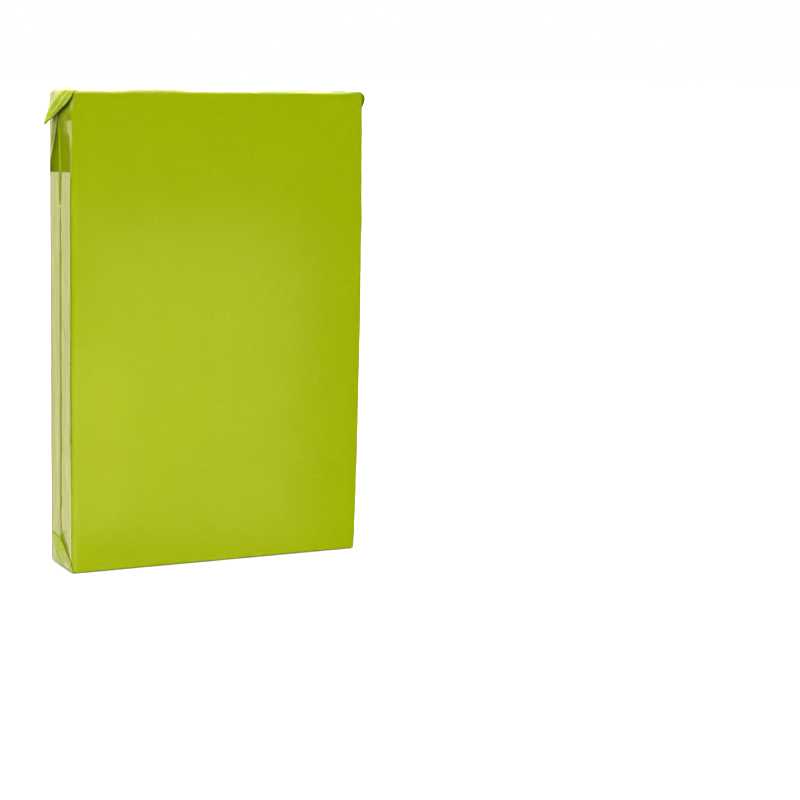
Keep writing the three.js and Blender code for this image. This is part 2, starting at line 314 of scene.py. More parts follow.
def build_body():
    xs = axis_points(X0, X1, R, [(X0 + R, -122, 3.2), (-122, 122, 6.4), (122, X1 - R, 3.2)])
    ys = axis_points(Y0, Y1, R, [(Y0 + R, -8, 1.2), (-8, -0.8, 0.4), (-0.8, 6, 0.85), (6, Y1 - R, 1.3)])
    zs = axis_points(0, H, RZ, [(RZ, 40, 1.1), (40, 343, 6.0), (343, 396, 1.8), (396, H - RZ, 1.25)])
    nx, ny, nz = len(xs), len(ys), len(zs)
    key = lambda i, j, k: (i * ny + j) * nz + k
    quads = []

    def face(a, b, make, flip):
        ia, ib = np.meshgrid(np.arange(a - 1), np.arange(b - 1), indexing="ij")
        q = np.stack([make(ia, ib), make(ia + 1, ib), make(ia + 1, ib + 1), make(ia, ib + 1)], -1).reshape(-1, 4)
        quads.append(q[:, ::-1] if flip else q)

    face(nx, nz, lambda i, k: key(i, 0, k), False)          # front, -Y
    face(nx, nz, lambda i, k: key(i, ny - 1, k), True)      # back, +Y
    face(ny, nz, lambda j, k: key(0, j, k), True)           # left, -X
    face(ny, nz, lambda j, k: key(nx - 1, j, k), False)     # right, +X
    face(nx, ny, lambda i, j: key(i, j, 0), True)           # bottom
    face(nx, ny, lambda i, j: key(i, j, nz - 1), False)     # top
    q = np.concatenate(quads)
    used, inv = np.unique(q, return_inverse=True)
    q = inv.reshape(q.shape)
    i, j, k = used // (ny * nz), used // nz % ny, used % nz
    p = np.stack([xs[i], ys[j], zs[k]], 1)
    rad = np.array([R, R, RZ])
    lo, hi = np.array([X0, Y0, 0]) + rad, np.array([X1, Y1, H]) - rad
    c = np.clip(p, lo, hi)
    d = (p - c) / rad
    d /= np.linalg.norm(d, axis=1)[:, None]
    p = c + d * rad
    n = d / rad
    n /= np.linalg.norm(n, axis=1)[:, None]
    x, y, z = p.T.copy()
    wl, wr = clamp01(-n[:, 0]) ** 2, clamp01(n[:, 0]) ** 2
    wf, wb = clamp01(-n[:, 1]) ** 2, clamp01(n[:, 1]) ** 2
    wt = clamp01(n[:, 2]) ** 2
    keep = smooth(0, 5, z)                                   # the bottom stays flat
    p[:, 0] += -wl * left_film(y, z) + wr * right_height(y, z) * keep
    p[:, 1] += (-wf * front_height(x, z) + wb * back_height(x, z)) * keep
    p[:, 2] += wt * top_height(x, y)
    p[:, 2] += top_edge_lift(x, y) * smooth(452, 464, z)
    p[:, 1] += smooth(452, 463, z) * wf * 0.25 * waves(x, z, 8, 14, 50)
    # the right side is a little fuller at mid height
    p[:, 0] += smooth(0, 151, x) * right_lean(z)
    # slight life in the vertical corners
    corner = np.minimum(1.0, (wl + wr) * (wf + wb) * 4)
    p[:, 0] += corner * 0.22 * waves(z, y * 0 + x, 9, 18, 90) * keep
    p[:, 1] += corner * 0.22 * waves(z, y * 0 - x, 10, 18, 90) * keep
    return p, q


def sheet_mesh(outer, inner):
    """A closed thin shell from two point grids (rows x columns x 3)."""
    rows, cols = outer.shape[:2]
    n = rows * cols
    v = np.concatenate([outer.reshape(-1, 3), inner.reshape(-1, 3)])
    at = lambda layer, i, j: layer * n + i * cols + j
    i, j = np.meshgrid(np.arange(rows - 1), np.arange(cols - 1), indexing="ij")
    i, j = i.ravel(), j.ravel()
    f = [np.stack([at(0, i, j), at(0, i + 1, j), at(0, i + 1, j + 1), at(0, i, j + 1)], 1),
         np.stack([at(1, i, j), at(1, i, j + 1), at(1, i + 1, j + 1), at(1, i + 1, j)], 1)]
    r = np.arange(rows - 1)
    f.append(np.stack([at(0, r, 0), at(1, r, 0), at(1, r + 1, 0), at(0, r + 1, 0)], 1))
    f.append(np.stack([at(0, r, cols - 1), at(0, r + 1, cols - 1), at(1, r + 1, cols - 1), at(1, r, cols - 1)], 1))
    c = np.arange(cols - 1)
    f.append(np.stack([at(0, 0, c), at(0, 0, c + 1), at(1, 0, c + 1), at(1, 0, c)], 1))
    f.append(np.stack([at(0, rows - 1, c), at(1, rows - 1, c), at(1, rows - 1, c + 1), at(0, rows - 1, c + 1)], 1))
    f = np.concatenate(f)
    # faces out: flip all if the shell's volume comes out negative
    a, b, cc, d = (v[f[:, m]] for m in range(4))
    vol = np.einsum("ij,ij->i", a, np.cross(b, cc)).sum() + np.einsum("ij,ij->i", a, np.cross(cc, d)).sum()
    return v, (f if vol > 0 else f[:, ::-1])


def resample(pts, n, rounding=3):
    """n points evenly along a 3-D polyline, with its corners eased."""
    p = np.asarray(pts, float)
    for _ in range(rounding):
        q = np.empty((2 * len(p) - 2 + 2, 3))
        q[0], q[-1] = p[0], p[-1]
        q[1:-1:2] = 0.75 * p[:-1] + 0.25 * p[1:]
        q[2:-1:2] = 0.25 * p[:-1] + 0.75 * p[1:]
        p = q
    s = np.concatenate([[0], np.cumsum(np.linalg.norm(np.diff(p, axis=0), axis=1))])
    t = np.linspace(0, s[-1], n)
    return np.stack([np.interp(t, s, p[:, m]) for m in range(3)], 1)


def across(lines, share, cols, blur):
    """Columns between the crease lines (each rows x 3) at their shares of the width, with the creases eased over blur columns."""
    t = np.linspace(0, 1, cols)
    rows = lines[0].shape[0]
    out = np.zeros((rows, cols, 3))
    for m in range(3):
        vals = np.stack([l[:, m] for l in lines], 1)
        for r in range(rows):
            out[r, :, m] = np.interp(t, share, vals[r])
    if blur > 0:
        k = np.exp(-0.5 * (np.arange(-6, 7) / blur) ** 2)
        k /= k.sum()
        pad = np.concatenate([2 * out[:, :1] - out[:, 6:0:-1], out, 2 * out[:, -1:] - out[:, -2:-8:-1]], 1)
        sm = sum(k[m] * pad[:, m:m + cols] for m in range(13))
        sm[:, 0], sm[:, -1] = out[:, 0], out[:, -1]
        out = sm
    return out


# ------------------------------------------------------------------ loose corner ears, flap and their film
def shell_from(outer, thick, towards):
    """Closed shell: the outer grid and a copy of it set back by thick along its own normals, on the side of towards."""
    du = np.gradient(outer, axis=0)
    dv = np.gradient(outer, axis=1)
    n = np.cross(du, dv)
    n /= np.maximum(np.linalg.norm(n, axis=2), 1e-9)[..., None]
    t = np.asarray(towards, float)
    flip = np.sign(np.einsum("ijk,k->ij", n, t))
    flip[flip == 0] = 1
    n = n * flip[..., None]
    n = 0.6 * n + 0.4 * t
    n /= np.linalg.norm(n, axis=2)[..., None]
    return sheet_mesh(outer, outer + n * np.asarray(thick)[..., None])


# crease lines of the loose ear at the top of the taped side, from its root on the top face to its hanging tip
EAR_REAR = [(-142.0, 31.0, 464.3), (-147.0, 31.2, 464.9), (-150.4, 30.5, 462.0), (-151.5, 28.9, 458.9), (-152.3, 27.6, 455.6), (-153.7, 25.0, 451.0),
            (-155.4, 22.0, 446.8), (-157.2, 19.5, 443.1), (-158.9, 18.0, 439.7), (-160.4, 17.5, 435.2), (-161.1, 17.2, 431.8)]
EAR_PLEAT = [(-141.0, 4.0, 464.6), (-146.0, 4.5, 465.2), (-149.6, 3.0, 464.7), (-151.2, 8.0, 462.6), (-152.8, 10.8, 459.7), (-154.3, 13.0, 455.8),
             (-155.8, 14.5, 451.0), (-157.6, 15.5, 445.2), (-159.1, 16.2, 440.5), (-160.5, 17.0, 434.9), (-161.1, 17.1, 431.7)]
EAR_RIDGE_1 = [(-141.0, -13.0, 464.7), (-145.3, -14.0, 465.5), (-149.8, -15.0, 465.7), (-152.1, -7.5, 463.0), (-154.1, -3.0, 460.0), (-155.8, 1.0, 456.2),
               (-157.8, 5.0, 451.3), (-159.2, 8.5, 446.4), (-160.4, 14.0, 439.1), (-161.2, 16.6, 433.8), (-161.2, 17.0, 431.5)]
EAR_VALLEY_1 = [(-141.0, -19.0, 464.5), (-145.6, -20.0, 464.9), (-149.6, -20.5, 463.9), (-151.2, -14.3, 461.8), (-152.7, -10.3, 459.0), (-154.2, -6.0, 455.2),
                (-155.5, -1.0, 450.8), (-156.9, 4.0, 445.5), (-158.4, 8.0, 440.4), (-159.8, 13.0, 435.6), (-161.1, 16.8, 431.4)]
EAR_RIDGE_2 = [(-141.0, -26.5, 464.8), (-145.4, -27.5, 465.6), (-150.2, -29.0, 466.1), (-151.9, -26.5, 464.1), (-153.1, -24.0, 461.6), (-154.7, -21.0, 458.0),
               (-155.9, -17.3, 454.0), (-156.8, -11.5, 450.1), (-158.0, -3.0, 444.4), (-159.2, 5.5, 438.8), (-160.4, 12.0, 433.9), (-161.0, 16.5, 431.3)]
EAR_VALLEY_2 = [(-142.0, -30.0, 464.7), (-145.6, -31.0, 465.1), (-149.3, -32.0, 464.5), (-150.9, -30.5, 462.5), (-151.9, -29.0, 459.4), (-152.9, -25.5, 455.9),
                (-154.0, -19.8, 452.1), (-155.3, -14.5, 448.6), (-156.6, -8.5, 445.0), (-158.1, 1.0, 440.1), (-159.7, 8.5, 435.7), (-161.0, 16.2, 431.1)]
EAR_FRONT = [(-142.0, -32.3, 464.8), (-145.6, -33.2, 465.3), (-147.7, -34.6, 465.1), (-149.2, -35.7, 462.9), (-150.8, -36.0, 460.0), (-152.7, -35.7, 457.0),
             (-154.3, -33.0, 454.4), (-155.3, -29.5, 451.8), (-156.4, -24.5, 449.4), (-157.2, -20.0, 447.1), (-158.0, -13.0, 443.4), (-159.1, -1.0, 438.7),
             (-159.9, 6.0, 436.0), (-160.8, 12.5, 433.2), (-161.0, 16.2, 431.1)]


EAR_GRID = (80, 74)


def build_top_ear():
    rows, cols = EAR_GRID
    lines = [resample(l, rows, 2) for l in (EAR_REAR, EAR_PLEAT, EAR_RIDGE_1, EAR_VALLEY_1, EAR_RIDGE_2, EAR_VALLEY_2, EAR_FRONT)]
    outer = across(lines, [0, 0.16, 0.34, 0.50, 0.66, 0.83, 1.0], cols, 0.6)
    t = np.linspace(0, 1, cols)[None, :]
    s = np.linspace(0, 1, rows)[:, None]
    # the two ridges are pressed folds: a fine raised line along each
    bead = 0.35 * bump(t, 0.34, 0.018) + 0.35 * bump(t, 0.66, 0.018) + 0.16 * bump(t, 0.985, 0.02) + 0.12 * bump(t, 0.25, 0.02) + 0.12 * bump(t, 0.08, 0.02)
    outer[..., 0] -= bead * smooth(0.08, 0.2, s)
    outer[..., 2] += 0.5 * bead * smooth(0.05, 0.16, s)
    # slack between the folds, and a free edge that isn't straight
    outer[..., 0] -= 0.16 * np.sin(7.0 * math.pi * s + 9 * t) * smooth(0.2, 0.5, s) * (1 - smooth(0.8, 1, s))
    # small crinkles at the front of the root
    outer[..., 0] -= 0.35 * np.sin(46.0 * s + 20 * t) * bump(t, 0.80, 0.10) * bump(s, 0.30, 0.09)
    outer[..., 1] += 0.25 * np.sin(5.2 * math.pi * s + 2.0) * smooth(0.9, 1.0, t) * smooth(0.15, 0.4, s) * (1 - smooth(0.85, 1, s))
    thick = 0.45 + 0.35 * smooth(0.5, 1.0, s) + 0 * t
    return shell_from(outer, thick, (1.0, 0.0, -0.25))


def build_low_ear():
    rows, cols = 64, 46
    rear = resample([(0, y, z) for y, z in LEAF_REAR], rows, 1)[:, 1:]
    front = resample([(0, y, z) for y, z in LEAF_FRONT], rows, 1)[:, 1:]
    t = 0.5 - 0.5 * np.cos(np.linspace(0, math.pi, cols))
    t = (0.65 * t + 0.35 * np.linspace(0, 1, cols))[None, :, None]
    yz = rear[:, None] * (1 - t) + front[:, None] * t
    y, z = yz[..., 0], yz[..., 1]
    film = left_film(y, z) - edge_inset(z)

    def placed(lift):
        a = np.maximum(0, -31.5 - y) / R
        return np.stack([X0 + R - (R + lift) * np.cos(a), np.maximum(y, -31.5) - (R + lift) * np.sin(a), z], -1)

    return sheet_mesh(placed(film + 0.08 + leaf_height(y, z)), placed(film - 0.25))


def build_right_ears():
    """The two ears on the far side, folded down and up against the film, and the doubled film under them."""
    parts = []
    for base_z, tip_z, half, lump in ((463.6, 426.4, 33.2, 1.0), (1.4, 37.0, 31.0, 0.0)):
        rows, cols = 30, 40
        s = np.linspace(0, 1, rows)[:, None]
        t = np.linspace(-1, 1, cols)[None, :]
        width = half * (1 - s) + 1.4 * s
        if lump:  # this ear bellies out towards the front, where its film is bunched
            width = np.where(t < 0, half * (1 - s ** 2.4) + 1.4 * s ** 2.4, width)
        y = t * width + 0.5 * np.sin(9 * s + 2) * (1 - np.abs(t)) + 1.0 * s
        z = base_z + (tip_z - base_z) * s + 0 * t
        edge = 1 - np.abs(t)
        film = right_height(y, z) * smooth(0, 5, z)
        d = film + 0.2 + 0.75 * clamp01(edge / 0.06) ** 0.5 + 0.55 * bump(np.abs(t), 0.93, 0.06) + 0.35 * bump(t, 0.1, 0.10) * (1 - s)
        d = d + lump * (2.45 * bump(y, -28.8, 4.8) * bump(z, 458.8, 6.8) + 0.9 * bump(y, -20, 8) * bump(z, 452, 8) + 0.5 * bump(y, 24, 7) * bump(z, 452, 7))
        d = d * smooth(0.0, 0.10, s + 0.04) + 0.25 * np.sin(6.5 * t + 4 * s) * edge * (1 - s) * 0.5
        inset = edge_inset(z)
        lean = right_lean(z)
        outer = np.stack([X1 + d - inset + lean, y, z], -1)
        inner = np.stack([X1 + film - 0.3 - inset + lean, y, z], -1)
        parts.append(sheet_mesh(outer, inner))
    return parts


def edge_inset(z):
    """How far the film has turned in from the side's plane near the top and bottom edges."""
    t = np.maximum(0, np.maximum(z - (H - RZ), RZ - z)) / RZ
    return R * (1 - np.sqrt(np.maximum(0, 1 - t ** 2)))


def right_lean(z):
    return np.interp(z, [0, 60, 160, 260, 333, 355, 401, 447, 465], [0.3, 1.6, 2.6, 2.9, 2.5, 1.9, 1.15, 0.1, -0.15])


def build_flap():
    """The closure flap, stuck down over the top of the back."""
    rows, cols = 26, 84
    x = np.linspace(-147.4, 147.4, cols)[None, :]
    low = 423.0 + 0.35 * np.sin(x / 19.0) + 0.18 * np.sin(x / 6.3 + 1)
    s = np.linspace(0, 1, rows)[:, None]
    z = low + (463.6 - low) * s ** 1.05
    film = back_height(x, z)
    lift = 0.42 + 0.10 * waves(x, z, 41, 14, 60) * smooth(0, 0.2, s)
    lift = lift + 0.5 * bump(z, low + 3.0, 1.6) * clamp01(np.sin(x / 23.0 + 0.6)) ** 2
    for c, w, hh in ((-118, 7, 0.5), (-61, 10, 0.35), (12, 8, 0.45), (74, 6, 0.4), (126, 7, 0.5)):
        lift = lift + hh * bump(x, c + 0.5 * (z - 440), w * 0.35) * smooth(424, 440, z) * (1 - smooth(452, 462, z))
    inset = edge_inset(z)
    outer = np.stack([x + 0 * z, Y1 + film + lift - inset, z], -1)
    inner = np.stack([x + 0 * z, Y1 + film - 0.3 - inset, z], -1)
    return sheet_mesh(outer, inner)


# ------------------------------------------------------------------ the clear tape down the seam side
TAPE_FRONT_Y = -29.4
TAPE_LOW = 0.9


def tape_front(z):
    return np.interp(z, [0, 88, 104, 122, 150, 175, 200, 300, 393], [-32.2, -32.0, -31.0, -29.8, -29.6, -29.9, -30.1, -30.3, -30.8])


def tape_top(y):
    tooth = np.abs((y / 1.5) % 1 - 0.5) * 2
    return np.interp(y, [TAPE_FRONT_Y, 31.0], [388.4, 384.5]) + 0.22 * tooth


def envelope(h, dy, dz, slope, reach):
    """The lowest sheet over h that never falls away faster than slope."""
    e = h.copy()
    for _ in range(reach):
        g = e.copy()
        g[1:] = np.maximum(g[1:], e[:-1] - slope * dy)
        g[:-1] = np.maximum(g[:-1], e[1:] - slope * dy)
        g[:, 1:] = np.maximum(g[:, 1:], e[:, :-1] - slope * dz)
        g[:, :-1] = np.maximum(g[:, :-1], e[:, 1:] - slope * dz)
        d = slope * math.hypot(dy, dz)
        g[1:, 1:] = np.maximum(g[1:, 1:], e[:-1, :-1] - d)
        g[:-1, :-1] = np.maximum(g[:-1, :-1], e[1:, 1:] - d)
        g[1:, :-1] = np.maximum(g[1:, :-1], e[:-1, 1:] - d)
        g[:-1, 1:] = np.maximum(g[:-1, 1:], e[1:, :-1] - d)
        e = g
    return e


def soften(e, n):
    for _ in range(n):
        p = np.pad(e, 1, mode="edge")
        e = (p[1:-1, 1:-1] * 4 + p[:-2, 1:-1] * 2 + p[2:, 1:-1] * 2 + p[1:-1, :-2] * 2 + p[1:-1, 2:] * 2
             + p[:-2, :-2] + p[2:, :-2] + p[:-2, 2:] + p[2:, 2:]) / 16
    return e


GY = np.arange(-33.0, 36.01, 0.5)
GZ = np.arange(-2.0, 398.01, 0.5)


def tape_field():
    y, z = GY[:, None], GZ[None, :]
    h = left_film(y, z) + leaf_height(y, z)
    e = envelope(h, 0.5, 0.5, 0.70, 12)
    return np.maximum(soften(e, 3), soften(h, 1))


def grid_at(field, y, z):
    fy = np.clip((y - GY[0]) / 0.5, 0, len(GY) - 1.001)
    fz = np.clip((z - GZ[0]) / 0.5, 0, len(GZ) - 1.001)
    i, j = fy.astype(int), fz.astype(int)
    a, b = fy - i, fz - j
    return (field[i, j] * (1 - a) * (1 - b) + field[i + 1, j] * a * (1 - b) + field[i, j + 1] * (1 - a) * b + field[i + 1, j + 1] * a * b)


def tape_crinkles(y, z):
    h = 0.05 * waves(y, z, 51, 8, 30, stretch=(0.8, 2.5))
    for pts, hh, ww in (
        ([(-5.0, 318), (-5.8, 306), (-5.1, 294)], -0.25, 1.6),
        ([(-6, 248), (-14, 234), (-21, 222)], -0.28, 1.9),
        ([(-13, 114), (-26, 76)], 0.40, 1.5),
        ([(-4.6, 58), (-9.5, 50)], 0.35, 1.2), ([(-9, 60), (-12, 46)], 0.30, 1.1),
        ([(-5, 64), (-7, 38), (-14, 24)], 0.30, 1.4), ([(-16, 57), (-20, 30)], 0.25, 1.6),
        ([(-25, 383), (-17.5, 376.5), (-12.5, 369), (-11, 360)], 0.22, 2.8), ([(5.5, 386), (5.5, 372)], -0.25, 2.0), ([(12, 370), (14, 346), (12, 320)], 0.12, 3.4),
        ([(12, 210), (18, 176), (16, 140)], 0.14, 3.2), ([(-22, 196), (-17, 168), (-21, 140)], 0.14, 3.0),
        ([(8, 120), (22, 86)], 0.25, 2.0), ([(6, 70), (20, 44)], 0.25, 1.8),
    ):
        h = h + ridge_line(y, z, pts, hh, ww, ends=7)
    return h


def tape_haze_and_reflection(y, z, e):
    """How milky the tape looks, partly its own haze and partly a painted reflection of the bright studio: low where it
    is stuck tight to the film, high where air lies behind it.
    """
    hs, foot = seam_shape(z)
    crest = seam_crest(z)
    base = 0.84 + 0.015 * waves(y, z, 61, 10, 46, stretch=(0.6, 3.0)) + 0.05 * smooth(200, 40, z) + 0.05 * smooth(-1, 8, y)
    stuck = smooth(-0.25, 0.25, y - foot) * smooth(-0.1, -0.6, y - crest)
    base = base * (1 - 0.98 * stuck)
    base = base + 0.10 * bump(y, foot - 0.5, 0.5) + 0.10 * bump(y, crest + 1.0, 1.0) * smooth(10, 60, z)
    base = base - 0.16 * bump(y, 5.5, 1.4) * smooth(364, 374, z)
    sd = poly_signed(y, z, LEAF)
    df = line_distance(y, z, LEAF_FRONT)
    dr = line_distance(y, z, LEAF_REAR)
    on_leaf = np.where(dr < df, smooth(-0.2, -1.2, sd), smooth(0.9, -0.3, sd))
    base = base * (1 - 0.95 * on_leaf)
    reach = np.interp(y, [-31, -27, -22, -9, -5], [3.6, 6.0, 9.0, 10.2, 8.4]) + 0.6 * np.sin(z * 0.8)
    wedge = smooth(-0.3, 0.3, sd) * smooth(1.15 * reach, 0.7 * reach, df) * smooth(-3.5, -6, y)
    base = base * (1 - 0.97 * wedge) * (1 - 0.97 * smooth(-0.3, 0.2, sd) * smooth(3.6, 2.6, df) * smooth(6, 0, y))
    # green marks where the tape has been pressed beside the seam's foot, and a painted reflection as a milky patch on
    # the ear
    for pts, w in (([(-6.6, 28.5), (-8.4, 33.5), (-12.0, 38.5)], 2.4), ([(-17.0, 36.0), (-18.4, 41.5)], 1.1)):
        base = base * (1 - 0.85 * ridge_line(y, z, pts, 1.0, w, ends=2.0, sharp=0.6))
    base = base + 0.62 * ridge_line(y, z, [(-12.5, 21.0), (-16.5, 13.0), (-18.5, 6.0), (-19.5, -2.0)], 1.1, 10.0, ends=4.0, sharp=0.5) * smooth(-0.8, -2.0, sd)
    base = base + 0.5 * smooth(-1.0, -4.0, sd) * smooth(11, 4, z) * smooth(6, -6, y)
    base = base - 0.30 * ridge_line(y, z, [(-5.0, 318), (-5.8, 306), (-5.1, 294)], 1.0, 1.2, ends=5)
    base = base - 0.28 * ridge_line(y, z, [(-6, 248), (-14, 234), (-21, 222)], 1.0, 1.1, ends=5)
    base = base + 0.22 * ridge_line(y, z, [(-13, 114), (-26, 76)], 1.0, 1.0, ends=6)
    # a painted highlight: a small bright spot on the tape
    base = base + 1.1 * bump(y, -3.9, 0.8) * bump(z, 354.4, 1.3)
    base = base + 0.18 * smooth(0.9, 0.2, y - TAPE_FRONT_Y) + 0.16 * smooth(1.1, 0.2, tape_top(y) - z)
    return clamp01(base)


def tape_painted_highlight(y, z):
    """Painted highlights in the tape's colour: bright lime lines along the seam's crest and foot, and a fainter one
    beside the crest near the top.
    """
    hs, foot = seam_shape(z)
    crest = seam_crest(z)
    out = 0.9 * bump(y, crest + 0.9, 1.1) + 0.8 * bump(y, foot - 0.5, 0.6) + 0.45 * bump(y, crest + 4.0, 1.6) * smooth(300, 380, z)
    return clamp01(out * smooth(28, 40, z) + 0.0 * y)


def build_tape():
    field = tape_field()
    ys = np.concatenate([steps(TAPE_FRONT_Y, -9, 0.9), steps(-9, -1, 0.3)[1:], steps(-1, 5, 0.6)[1:], steps(5, 31.4, 0.95)[1:]])
    arc = np.radians(np.linspace(0, 62, 9))[1:]
    y = np.concatenate([ys, np.full(len(arc), 31.5)])
    ang = np.concatenate([np.zeros(len(ys)), arc])
    t = np.concatenate([np.linspace(0, 0.11, 110), np.linspace(0.11, 1, 240)[1:]])[:, None]
    front = tape_front(TAPE_LOW + (388.4 - TAPE_LOW) * t) + 0.12 * np.sin(t * 61.0)
    share = smooth(-20.0, TAPE_FRONT_Y, y[None, :])
    yy = y[None, :] + (front - TAPE_FRONT_Y) * share
    z = TAPE_LOW + (tape_top(yy) - TAPE_LOW) * t
    on_flat = (ang == 0)[None, :]
    e = grid_at(field, np.minimum(yy, 35.5), z)
    crinkle = tape_crinkles(yy, z) * smooth(0, 3, yy - front)
    lift = np.maximum(e + crinkle, e * 0 + grid_at(field, yy, z) - 0.05)
    # the tape's last centimetre isn't pressed down all the way
    lift = lift + 0.22 * smooth(8, 0, tape_top(yy) - z) * (0.6 + 0.4 * np.sin(yy / 6.0))
    lift = np.where(on_flat, lift, lift[:, len(ys) - 1][:, None] * np.cos(ang)[None, :] ** 2)
    # where it reaches past the flat of the side, it turns in with the film's bend
    over = np.maximum(0, -31.5 - yy)
    lift = lift - (R - np.sqrt(R ** 2 - over ** 2)) - edge_inset(z)
    layers = []
    for gap in (0.30, 0.12):
        r = R + lift + gap
        cx, cy = X0 + R, Y1 - R
        x = np.where(on_flat, X0 - lift - gap, cx - r * np.cos(ang)[None, :])
        yo = np.where(on_flat, yy, cy + r * np.sin(ang)[None, :])
        layers.append(np.stack([x, yo, z], -1))
    v, f = sheet_mesh(layers[0], layers[1])
    haze_and_reflection = tape_haze_and_reflection(yy, z, e)
    haze_and_reflection = np.where(on_flat, haze_and_reflection, haze_and_reflection[:, len(ys) - 1][:, None])
    painted_tape_highlight = np.where(on_flat, tape_painted_highlight(yy, z), 0)
    return v, f, np.concatenate([haze_and_reflection.ravel(), haze_and_reflection.ravel()]), np.concatenate([painted_tape_highlight.ravel(), painted_tape_highlight.ravel()])


# ------------------------------------------------------------------ materials
def new_material(name):
    m = bpy.data.materials.new(name)
    m.use_nodes = True
    nt = m.node_tree
    nt.nodes.clear()
    return m, nt


def node(nt, kind, loc=(0, 0), **inputs):
    n = nt.nodes.new(kind)
    n.location = loc
    for k, val in inputs.items():
        n.inputs[k].default_value = val
    return n


def noise(nt, coords, scale, detail=3.0, rough=0.5, stretch=(1, 1, 1), offset=(0, 0, 0)):
    mp = node(nt, "ShaderNodeMapping")
    mp.inputs["Scale"].default_value = stretch
    mp.inputs["Location"].default_value = offset
    nt.links.new(coords, mp.inputs["Vector"])
    n = node(nt, "ShaderNodeTexNoise")
    n.inputs["Scale"].default_value = scale
    n.inputs["Detail"].default_value = detail
    n.inputs["Roughness"].default_value = rough
    nt.links.new(mp.outputs[0], n.inputs["Vector"])
    return n.outputs["Fac"]


def remap(nt, val, a, b, c, d):
    n = node(nt, "ShaderNodeMapRange")
    for k, x in (("From Min", a), ("From Max", b), ("To Min", c), ("To Max", d)):
        n.inputs[k].default_value = x
    nt.links.new(val, n.inputs["Value"])
    return n.outputs["Result"]


def mix_colour(nt, fac, a, b):
    n = nt.nodes.new("ShaderNodeMix")
    n.data_type = "RGBA"
    for sock, val in ((n.inputs["A"], a), (n.inputs["B"], b)):
        if isinstance(val, tuple):
            sock.default_value = val
        else:
            nt.links.new(val, sock)
    nt.links.new(fac, n.inputs["Factor"])
    return n.outputs["Result"]


def math_node(nt, op, a, b):
    n = node(nt, "ShaderNodeMath")
    n.operation = op
    for i, v in enumerate((a, b)):
        if isinstance(v, (int, float)):
            n.inputs[i].default_value = v
        else:
            nt.links.new(v, n.inputs[i])
    return n.outputs[0]


def bump_node(nt, height, distance, strength, normal=None):
    n = node(nt, "ShaderNodeBump")
    n.inputs["Strength"].default_value = strength
    n.inputs["Distance"].default_value = distance
    nt.links.new(height, n.inputs["Height"])
    if normal is not None:
        nt.links.new(normal, n.inputs["Normal"])
    return n.outputs["Normal"]


def film_material():
    m, nt = new_material("lime_film")
    out = node(nt, "ShaderNodeOutputMaterial")
    p = node(nt, "ShaderNodeBsdfPrincipled")
    nt.links.new(p.outputs[0], out.inputs[0])
    obj = nt.nodes.new("ShaderNodeTexCoord").outputs["Object"]
    cloudy = noise(nt, obj, 14.0, 3.0, 0.5)
    streak = noise(nt, obj, 60.0, 2.0, 0.5, stretch=(1.0, 1.0, 0.12))
    tone = math_node(nt, "ADD", remap(nt, cloudy, 0.3, 0.7, 0.0, 0.65), remap(nt, streak, 0.3, 0.7, 0.0, 0.35))
    base = mix_colour(nt, tone, (0.358, 0.455, 0.0006, 1), (0.378, 0.476, 0.0010, 1))
    # painted light, painted reflection, painted shade and painted highlights, mixed over the film's colour by the masks
    # of the same names
    for name, colour in (("painted_light", (0.70, 0.86, 0.028, 1)), ("painted_reflection", (0.80, 0.81, 0.26, 1)), ("painted_shade", (0.085, 0.135, 0.0005, 1)),
                         ("painted_highlight", (0.985, 0.99, 0.55, 1))):
        mask = nt.nodes.new("ShaderNodeAttribute")
        mask.attribute_name = name
        base = mix_colour(nt, mask.outputs["Fac"], base, colour)
    nt.links.new(base, p.inputs["Base Color"])
    rough = remap(nt, noise(nt, obj, 22.0, 4.0, 0.6, offset=(3, 1, 2)), 0.3, 0.7, 0.24, 0.31)
    # where a reflection is painted into the colour, the film's own gloss is turned down
    dull = nt.nodes.new("ShaderNodeAttribute")
    dull.attribute_name = "painted_reflection"
    nt.links.new(math_node(nt, "ADD", rough, remap(nt, dull.outputs["Fac"], 0.0, 1.0, 0.0, 0.4)), p.inputs["Roughness"])
    p.inputs["IOR"].default_value = 1.5
    nt.links.new(remap(nt, dull.outputs["Fac"], 0.0, 0.8, 0.45, 0.08), p.inputs["Specular IOR Level"])
    # drawn-film grain along the length, and very shallow soft dimples
    grain = noise(nt, obj, 420.0, 2.0, 0.5, stretch=(1.0, 1.0, 0.10))
    nrm = bump_node(nt, grain, 0.00002, 0.5)
    dimple = noise(nt, obj, 55.0, 2.0, 0.45, offset=(5, 7, 1))
    nrm = bump_node(nt, dimple, 0.00003, 0.35, nrm)
    nt.links.new(nrm, p.inputs["Normal"])
    return m


